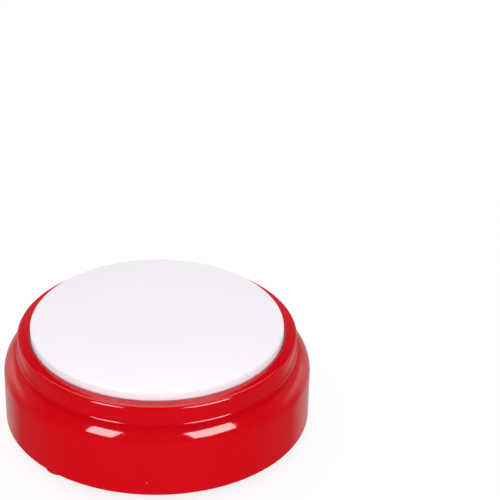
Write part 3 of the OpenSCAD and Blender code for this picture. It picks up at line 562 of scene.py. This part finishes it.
def case_profile(case):
    """Closed half section of the case shell."""
    outer = (CASE_HIGH.x - CASE_LOW.x) / 2
    mid = outer - case.shoulder_r
    fillet_x = case.collar_r + case.fillet_r
    turn = math.acos((fillet_x - mid) / (case.shoulder_r + case.fillet_r))
    fillet_z = case.shoulder_z + (case.shoulder_r + case.fillet_r) * math.sin(turn)
    turn = math.degrees(turn)
    low, edge, thick = CASE_LOW.z, case.edge_r, case.wall_t
    collar_edge, lip_edge = case.collar_round, case.lip_round
    ring_z = case.lip_z - case.ring_t
    inner_r = case.shoulder_r - thick
    inner_turn = math.degrees(math.acos((case.collar_r - thick - mid) / inner_r))
    return (arc(case.wall_bottom - edge, low + edge, edge, -90, 0, 4)
            + arc(mid, case.shoulder_z, case.shoulder_r, 0, turn, 28)
            + arc(fillet_x, fillet_z, case.fillet_r, 180 + turn, 180, 8)[1:]
            + arc(case.collar_r - collar_edge, case.ring_z - collar_edge, collar_edge, 0, 90, 10)
            + arc(case.lip_r + lip_edge, case.lip_z - lip_edge, lip_edge, 90, 180, 6)
            + [(case.lip_r, ring_z), (case.collar_r - thick, ring_z)]
            + arc(mid, case.shoulder_z, inner_r, inner_turn, 0, 12)
            + [(case.wall_bottom - thick, low + edge), (case.wall_bottom - thick + edge, low)])


class CLOCK_OT_case(ClockPiece, bpy.types.Operator):
    """Case shell with its raised collar, ring and screw bosses"""
    bl_idname = "clock.case"
    bl_label = "Case shell"

    def make(self, scene):
        boss_r, ear_r, ear_z = 3.2, 3.0, 19.8
        top, edge = 24.6, 0.2
        shape = Shape().turn(supported(case_profile(scene.clock_case)), scene.clock_stage.around)
        for angle in BOSSES:
            shape.tube(along(angle, SCREW_RING), POST_BORE, boss_r, PLATE_TOP, top, edge)
        for angle in EARS:
            shape.tube(along(angle, EAR_RING), POST_BORE, ear_r, ear_z, top, edge)
        shape.piece("case_shell", red_gloss(), "case", "red_plastic", "upper_housing")


class CLOCK_OT_button(ClockPiece, bpy.types.Operator):
    """Domed push button with its skirt, flange, guide posts and ribs"""
    bl_idname = "clock.button"
    bl_label = "Push button"

    def make(self, scene):
        button = scene.clock_button
        shape = Shape().turn(supported(self.profile(scene.clock_case, button)), scene.clock_stage.around)
        spring_seat = {"r": 4.7, "z0": 30.65, "z1": 35.6, "edge": 0.2}
        guide_post = {"r": 2.0, "z0": 22.2, "z1": 31.5, "edge": 0.3}
        striker = {"r": 3.0, "z0": 30.1, "z1": 36.8, "edge": 0.2}
        rib_half, rib_z, rib_edge = 0.7, 32.9, 0.1
        rib_parts = ((1, 17, 36.7), (16, 33, 36.2))
        for angle in BOSSES:
            at = along(angle, GUIDE_RING)
            shape.tube(at, 0, **spring_seat)
            shape.tube(at, 0, **guide_post)
            for near, far, top in rib_parts:
                shape.block((near, -rib_half, rib_z), (far, rib_half, top), rib_edge, angle)
        shape.tube((0, 0), 0, **striker)
        shape.piece("button_cap", white_gloss(), "button", "white_plastic", "press_button")

    def profile(self, case, button):
        """Closed half section of the cap: its flange, side, rim and dome, and then the inside."""
        below_ring, beside_collar, inner_drop = 0.05, 0.5, 1
        rim_x = button.radius - button.rim_r
        mid = button.rim_z - math.sqrt((button.dome_r - button.rim_r) ** 2 - rim_x ** 2)
        lean = math.degrees(math.atan2(button.rim_z - mid, rim_x))
        flange_z = case.lip_z - case.ring_t - button.flange_t - below_ring
        flange_top = flange_z + button.flange_t
        flange_r = case.collar_r - case.wall_t - beside_collar
        inner_x = button.radius - button.skirt_t
        inner_r = button.dome_r - button.wall_t
        return ([(flange_r, flange_z), (flange_r, flange_top), (button.radius, flange_top)]
                + arc(rim_x, button.rim_z, button.rim_r, 0, lean, 10)
                + arc(0, mid, button.dome_r, lean, 90, 32)[1:-1] + [(0, mid + button.dome_r)]
                + [(0, mid + inner_r)] + arc(0, mid, inner_r, 90, lean, 12)[1:]
                + [(inner_x, button.rim_z - inner_drop), (inner_x, flange_z)])


class CLOCK_OT_springs(ClockPiece, bpy.types.Operator):
    """Three return springs, coiled from steel wire"""
    bl_idname = "clock.springs"
    bl_label = "Button springs"

    def make(self, scene):
        button = scene.clock_button
        for place in ("front", "back", "left"):
            node = "button_spring_" + place
            low, high = node_box(node)
            at = middle(node)
            half = button.wire / 2
            r = (high.x - low.x) / 2 - half
            shape = Shape().coil(at, r, low.z + half, high.z - half, button.turns, button.wire)
            spring = shape.piece(node + "_coil", bright_steel(), "case", "steel", node)
            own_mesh(spring)


class CLOCK_OT_base(ClockPiece, bpy.types.Operator):
    """Base plate with moulded feet, speaker grille, battery box and posts"""
    bl_idname = "clock.base"
    bl_label = "Base plate"

    def make(self, scene):
        shape = Shape()
        self.plate(shape)
        self.feet(shape)
        self.battery_box(shape, node_box("base_plate")[1].z)
        self.posts(shape)
        shape.piece("base_moulding", red_gloss(), "case", "red_plastic", "base_plate", FLAT)

    def holes(self):
        """Outlines of the grille, the key holes and the alarm knob's slot."""
        grille_hole, grille_pitch, key_hole = 0.9, 3.6, 3.5
        slot_x, slot_y, slot_corner = 4.25, 1.75, 0.4
        holes = [ring_points(grille_hole, 16, SPEAKER_X, SPEAKER_Y)]
        for ring in (1, 2, 3):
            for i in range(6 * ring):
                x, y = along(math.radians(60 / ring * i), grille_pitch * ring)
                holes.append(ring_points(grille_hole, 16, x + SPEAKER_X, y + SPEAKER_Y))
        for key in KEYS:
            holes.append(ring_points(key_hole, 40, *middle(key)))
        holes.append(rounded_rectangle(KNOB_SLOT_X - slot_x, KNOB_SLOT_Y - slot_y,
                                       KNOB_SLOT_X + slot_x, KNOB_SLOT_Y + slot_y, slot_corner))
        return holes

    def plate(self, shape):
        """The plate in two layers; the lower has room for the screw heads and a notch for a fingernail."""
        head_room, screw_hole, corner = 2.35, 1.3, 0.5
        x, front, back = DOORWAY_X, DOORWAY_FRONT, DOORWAY_BACK
        notch = [(4.5, front), (4.3, front - 1.1), (3.9, front - 1.5)]
        opening = rounded_rectangle(-x, front, x, back, corner)
        notched = [p for p in opening if p[1] > front + 1] \
            + arc(corner - x, front + corner, corner, 180, 270, 5) \
            + [(-px, py) for px, py in notch] + notch[::-1] \
            + arc(x - corner, front + corner, corner, 270, 360, 5)
        screws = [along(angle, SCREW_RING) for angle in BOSSES]
        rim, holes = ring_points(PLATE_R, 256), self.holes()
        recesses = [ring_points(head_room, 32, *at) for at in screws]
        bores = [ring_points(screw_hole, 32, *at) for at in screws]
        shape.sheet(rim, holes + [notched] + recesses, PLATE_LOW, PLATE_WEB, 0.12)
        shape.sheet(rim, holes + [opening] + bores, PLATE_WEB, PLATE_TOP, 0.02)

    def feet(self, shape):
        """Three stepped feet, which reach a little past the plate's rim."""
        r, neck, edge, step, top = 5.5, 4.6, 0.4, 2.2, 3.3
        profile = [(0, 0)] + arc(r - edge, edge, edge, -90, 0, 6) \
            + [(r, step), (neck, step + 0.1), (neck, top), (0, top)]
        for angle in FEET:
            shape.turn(profile, 64, (*along(angle, FOOT_RING), 0))

    def battery_box(self, shape, top):
        """Walls and roof of the battery box, with slots at the back for the door's hooks."""
        wall, slot_half, slot_top = 1.4, 3.5, 7.2
        x, front, back = DOORWAY_X, DOORWAY_FRONT, DOORWAY_BACK
        shape.block((-x - wall, front - wall, PLATE_TOP), (x + wall, front, top))
        shape.block((-x - wall, front, PLATE_TOP), (-x, back, top))
        shape.block((x, front, PLATE_TOP), (x + wall, back, top))
        shape.block((-x, front, top - wall), (x, back, top))
        left, right = [(hook - slot_half, hook + slot_half) for hook in HOOKS]
        for x0, x1 in ((-x - wall, left[0]), (left[1], right[0]), (right[1], x + wall)):
            shape.block((x0, back, PLATE_TOP), (x1, back + wall, top))
        for x0, x1 in (left, right):
            shape.block((x0, back, slot_top), (x1, back + wall, top))

    def posts(self, shape):
        """Rim and clamp posts of the speaker, and the posts of the key board."""
        rim_in, rim_out, seat_top = 18.3, 19.5, 6.7
        clamp_ring, clamp_bore, clamp_r = 21.0, 0.95, 2.4
        key_post_r, key_post_top = 2.3, 12.0
        shape.tube((SPEAKER_X, SPEAKER_Y), rim_in, rim_out, PLATE_TOP, seat_top, steps=96)
        for angle in (30, 150, 270):
            x, y = along(math.radians(angle), clamp_ring)
            shape.tube((x + SPEAKER_X, y + SPEAKER_Y), clamp_bore, clamp_r, PLATE_TOP, seat_top)
        for at in KEY_POSTS:
            shape.tube(at, POST_BORE, key_post_r, PLATE_TOP, key_post_top)


class CLOCK_OT_door(ClockPiece, bpy.types.Operator):
    """Battery door with finger grooves, hooks and latch tongue"""
    bl_idname = "clock.door"
    bl_label = "Battery door"

    def make(self, scene):
        x, front, low = DOOR_HIGH.x, DOOR_LOW.y, DOOR_LOW.z
        back, skin, thick = 28.1, 0.4, 1.6
        groove_half, groove_from, groove_to, groove_round = 0.4, 3.0, 6.0, 0.38
        hook_half, hook_z, hook_top = 3, 5.4, 6.4
        latch_half, latch_top = 4, 6.8
        outline = rounded_rectangle(-x, front, x, back, 0.4)
        grooves = [rounded_rectangle(x0 - groove_half, front + groove_from,
                                     x0 + groove_half, front + groove_to, groove_round)
                   for x0 in range(-4, 5, 2)]
        shape = Shape()
        shape.sheet(outline, grooves, low, low + skin, 0.1)
        shape.sheet(outline, [], low + skin, low + thick, 0.02)
        for hook in HOOKS:
            x0, x1 = hook - hook_half, hook + hook_half
            shape.block((x0, back - 1.2, low + 1.0), (x1, back, hook_top), 0.1)
            shape.block((x0, back - 1.0, hook_z), (x1, DOOR_HIGH.y, hook_top), 0.1)
        shape.block((-latch_half, front + 0.3, low + 1.1), (latch_half, front + 1.1, latch_top), 0.15)
        shape.piece("battery_door_moulding", red_gloss(), "battery_door", "red_plastic", "battery_door", FLAT)


class CLOCK_OT_keys(ClockPiece, bpy.types.Operator):
    """Set, up and down keys with raised marks that a finger can feel"""
    bl_idname = "clock.keys"
    bl_label = "Setting keys"

    def make(self, scene):
        cap_r, cap_edge, face, dish_r = 3.3, 0.5, 2.7, 1.5
        flange_r, flange_z, flange_top, stem_r = 4.2, 5.25, 6.15, 1.6
        long, wide, mark_z, mark_top, mark_edge = 1.7, 0.4, 2.4, 2.9, 0.15
        circle_r, circle_z, circle_half = 1.25, 2.62, 0.3
        for key in KEYS:
            x, y = middle(key)
            top = node_box(key)[1].z
            shape = Shape()
            shape.turn([(0, face), (dish_r, face - 0.02)]
                       + arc(cap_r - cap_edge, face + cap_edge, cap_edge, -90, 0, 6)
                       + [(cap_r, flange_z), (flange_r, flange_z), (flange_r, flange_top),
                          (stem_r, flange_top), (stem_r, top), (0, top)], 64, (x, y, 0))
            if key == "set_key":
                shape.turn(arc(circle_r, circle_z, circle_half, 0, 330, 11), 40, (x, y, 0))
            else:
                shape.block((x - long, y - wide, mark_z), (x + long, y + wide, mark_top), mark_edge)
            if key == "up_key":
                shape.block((x - wide, y - long, mark_z), (x + wide, y + long, mark_top), mark_edge)
            shape.piece(key + "_cap", white_gloss(), key, "white_plastic", key)


class CLOCK_OT_knob(ClockPiece, bpy.types.Operator):
    """Ribbed knob of the alarm switch"""
    bl_idname = "clock.knob"
    bl_label = "Alarm knob"

    def make(self, scene):
        half_x, half_y, body_z, body_top = 2.5, 1.5, 3.0, 5.4
        rib_x, rib_y, rib_z, rib_top = 0.3, 1.45, 2.7, 3.3
        skirt_z, skirt_top = 5.25, 5.6
        x, y = middle("alarm_knob")
        shape = Shape()
        shape.block((x - half_x, y - half_y, body_z), (x + half_x, y + half_y, body_top), 0.12)
        for i in range(-2, 3):
            shape.block((x + i - rib_x, y - rib_y, rib_z), (x + i + rib_x, y + rib_y, rib_top), 0.14)
        shape.block((KNOB_LOW.x, KNOB_LOW.y, skirt_z), (KNOB_HIGH.x, KNOB_HIGH.y, skirt_top), 0.05)
        shape.piece("alarm_knob_cap", black_matte(), "alarm_knob", "black_plastic", "alarm_knob")


def cross(x, y, long, wide):
    """Outline of a cross recess."""
    a, b = wide / 2, long / 2
    points = [(b, -a), (b, a), (a, a), (a, b), (-a, b), (-a, a),
              (-b, a), (-b, -a), (-a, -a), (-a, -b), (a, -b), (a, -a)]
    return [(x + px, y + py) for px, py in points]


class CLOCK_OT_screws(ClockPiece, bpy.types.Operator):
    """The three screws that hold the case to the base"""
    bl_idname = "clock.screws"
    bl_label = "Case screws"

    def make(self, scene):
        head_r, slot_z, slot_top, head_top = 2.1, 3.9, 4.0, 4.5
        shank_r, tip_r, tip_z, tip = 1.1, 0.9, 13.3, 13.5
        slot_long, slot_wide = 2.3, 0.55
        shape = Shape()
        for angle in BOSSES:
            x, y = along(angle, SCREW_RING)
            slot = cross(x, y, slot_long, slot_wide)
            shape.sheet(ring_points(head_r, 40, x, y), [slot], PLATE_LOW, slot_top, 0.1)
            shape.turn([(0, slot_z), (head_r, slot_z), (head_r, head_top), (shank_r, head_top),
                        (shank_r, tip_z), (tip_r, tip), (0, tip)], 40, (x, y, 0))
        shape.piece("case_screws", bright_steel(), "case", "steel", "housing_screws", FLAT)


class CLOCK_OT_works(ClockPiece, bpy.types.Operator):
    """Finishes of the pieces inside the case"""
    bl_idname = "clock.works"
    bl_label = "Works"

    def make(self, scene):
        c = colours()
        finishes = {
            "black_plastic": black_matte(),
            "white_plastic": white_gloss(),
            "red_plastic": red_gloss(),
            "steel": bright_steel(),
            "circuit_board": finish_of("lacquered_board", board(c.board)),
            "ferrite": finish_of("ferrite", matte_plastic((0.045, 0.045, 0.05), 0.7)),
            "cone_film": finish_of("cone_film", gloss_plastic((0.7, 0.7, 0.66), 0.3)),
            "copper": finish_of("copper_wire", metal(c.copper, 0.3, (1.0, 1.0, 40.0))),
            "foam": finish_of("foam_gasket", matte_plastic((0.02, 0.02, 0.02), 0.9)),
            "cell_jacket": finish_of("cell_jacket", jacket),
            "black_lead": finish_of("black_lead", matte_plastic((0.012, 0.012, 0.013), 0.4)),
            "red_lead": finish_of("red_lead", matte_plastic((0.45, 0.006, 0.012), 0.4)),
        }
        slots = {s["node"]: s["material_slot"] for s in frame["record"]["subparts"]}
        for name, thing in frame["nodes"].items():
            thing.data.materials.clear()
            thing.data.materials.append(finishes[slots[name]])


class CLOCK_OT_stage(ClockPiece, bpy.types.Operator):
    """Floor, studio lamps, surroundings and camera"""
    bl_idname = "clock.stage"
    bl_label = "Studio"

    def make(self, scene):
        settings = scene.clock_stage
        self.floor(scene, settings.floor_grey)
        for name, side, wide in SOFTBOXES:
            power = settings.gleam * math.pi * wide * SOFTBOX_HEIGHT
            box = self.lamp(scene, name, (side, SOFTBOX_RISE), (wide, SOFTBOX_HEIGHT), power)
            box.visible_diffuse = False
        self.lamp(scene, "front_light", FRONT_WAY, FRONT_SIZE, settings.front).visible_glossy = False
        self.lamp(scene, "overhead_light", ABOVE_WAY, ABOVE_SIZE, settings.above)
        self.surroundings(scene, settings.sky)
        self.camera(scene, settings.lens)
        scene.view_settings.view_transform = "Standard"

    def floor(self, scene, grey):
        """White floor that only the camera sees, and only from above; it keeps the clock's shadow."""
        bm = bmesh.new()
        bmesh.ops.create_grid(bm, x_segments=8, y_segments=8, size=FLOOR_HALF)
        mesh = bpy.data.meshes.new("floor")
        bm.to_mesh(mesh)
        bm.free()
        material = bpy.data.materials.new("floor_paper")
        material.use_nodes = True
        f = Finish(material.node_tree)
        seen = f.ray("Is Camera Ray") * (1.0 - f.add("ShaderNodeNewGeometry", {}, {}, out="Backfacing"))
        paper = f.add("ShaderNodeBsdfDiffuse", {}, {"Color": (grey, grey, grey, 1.0)})
        glow = f.add("ShaderNodeEmission", {}, {"Color": (1.0, 1.0, 1.0, 1.0), "Strength": FLOOR_WHITE - grey})
        both = f.add("ShaderNodeAddShader", {}, {0: paper, 1: glow})
        clear = f.add("ShaderNodeBsdfTransparent", {}, {})
        shader = f.add("ShaderNodeMixShader", {}, {0: seen, 1: clear, 2: both})
        f.add("ShaderNodeOutputMaterial", {}, {"Surface": shader})
        mesh.materials.append(material)
        thing = bpy.data.objects.new("floor", mesh)
        thing.location.z = -FLOOR_DROP * MM
        scene.collection.objects.link(thing)
        thing.visible_glossy = False

    def lamp(self, scene, name, way, wide, power):
        """Rectangular lamp that faces the clock from a direction, of a width and height."""
        turn, rise = math.radians(way[0]), math.radians(way[1])
        data = bpy.data.lights.new(name, "AREA")
        data.shape = "RECTANGLE"
        data.size, data.size_y = wide
        data.energy = power
        thing = bpy.data.objects.new(name, data)
        scene.collection.objects.link(thing)
        way = Vector((math.sin(turn) * math.cos(rise), -math.cos(turn) * math.cos(rise), math.sin(rise)))
        thing.location = way * LAMP_AWAY + Vector((0, 0, LAMP_AIM))
        thing.rotation_euler = way.to_track_quat("Z", "Y").to_euler()
        return thing

    def surroundings(self, scene, sky):
        """White to the camera, even light to the matt parts, and a plain room to the gloss."""
        world = bpy.data.worlds.new("studio")
        world.use_nodes = True
        scene.world = world
        f = Finish(world.node_tree)
        way = f.add("ShaderNodeTexCoord", {}, {}, out="Generated")
        parts = f.add("ShaderNodeSeparateXYZ", {}, {0: way}, out=0)
        x, y, z = [Link(f, parts.socket.node.outputs[i]) for i in range(3)]
        behind = f.band(y, -0.2, 0.55)
        below = f.band(z, -0.04, 0.0, 1.0, 0.0)
        low = f.band(z, 0.4, 0.64, 1.0, 0.0)
        level = f.band(f.unsigned(z), 0.12, 0.3, 1.0, 0.0)
        aside = f.band(f.unsigned(x), 0.5, 0.75) * f.band(y, 0.15, 0.5) * level
        upper = behind * low * BACK_GLOW + aside * SIDE_GLOW
        lower = f.band(y, -0.4, 0.4) * LOW_FRONT_GLOW + f.band(y, 0.42, 0.72) * LOW_BACK_GLOW \
            + aside * LOW_SIDE_GLOW + LOW_GLOW
        light = upper + below * (lower - upper)
        seen = f.ray("Is Camera Ray") + f.ray("Is Transmission Ray")
        strength = f.ray("Is Glossy Ray") * (light - sky) + seen * (1.0 - sky) + sky
        back = f.add("ShaderNodeBackground", {}, {"Color": (1.0, 1.0, 1.0, 1.0), "Strength": strength})
        f.add("ShaderNodeOutputWorld", {}, {"Surface": back})

    def camera(self, scene, lens):
        """Camera of the photograph: a long lens that looks down at the clock's front."""
        data = bpy.data.cameras.new("camera")
        data.lens = lens
        data.sensor_width = 36.0
        data.clip_start, data.clip_end = 0.01, 20.0
        thing = bpy.data.objects.new("camera", data)
        scene.collection.objects.link(thing)
        pitch, roll = math.radians(CAMERA_PITCH), math.radians(CAMERA_ROLL)
        ahead = Vector((0, math.cos(pitch), -math.sin(pitch)))
        upward = Vector((0, math.sin(pitch), math.cos(pitch)))
        right = Vector((1, 0, 0)) * math.cos(roll) + upward * math.sin(roll)
        up = upward * math.cos(roll) - Vector((1, 0, 0)) * math.sin(roll)
        place = (right * CAMERA_RIGHT + up * CAMERA_UP - ahead * CAMERA_BACK) * MM \
            + Vector((0, 0, CAMERA_AIM * MM))
        turn = Matrix((right, up, -ahead)).transposed().to_4x4()
        thing.matrix_world = Matrix.Translation(place) @ turn
        scene.camera = thing


OPERATORS = (CLOCK_OT_case, CLOCK_OT_button, CLOCK_OT_springs, CLOCK_OT_base, CLOCK_OT_door,
             CLOCK_OT_keys, CLOCK_OT_knob, CLOCK_OT_screws, CLOCK_OT_works, CLOCK_OT_stage)


class CLOCK_PT_panel(bpy.types.Panel):
    """Lists the clock's pieces"""
    bl_idname = "CLOCK_PT_panel"
    bl_label = "Talking clock"
    bl_space_type = "VIEW_3D"
    bl_region_type = "UI"
    bl_category = "Talking clock"

    def draw(self, context):
        for operator in OPERATORS:
            self.layout.operator(operator.bl_idname)


CLASSES = (ClockCaseSizes, ClockButtonSizes, ClockColours, ClockStageSettings) + OPERATORS + (CLOCK_PT_panel,)


def register():
    for cls in CLASSES:
        bpy.utils.register_class(cls)
    bpy.types.Scene.clock_case = PointerProperty(type=ClockCaseSizes)
    bpy.types.Scene.clock_button = PointerProperty(type=ClockButtonSizes)
    bpy.types.Scene.clock_colours = PointerProperty(type=ClockColours)
    bpy.types.Scene.clock_stage = PointerProperty(type=ClockStageSettings)


def unregister():
    for name in ("clock_case", "clock_button", "clock_colours", "clock_stage"):
        delattr(bpy.types.Scene, name)
    for cls in reversed(CLASSES):
        bpy.utils.unregister_class(cls)


def main():
    register()
    for operator in OPERATORS:
        group, name = operator.bl_idname.split(".")
        getattr(getattr(bpy.ops, group), name)()


if __name__ == "__main__":
    main()
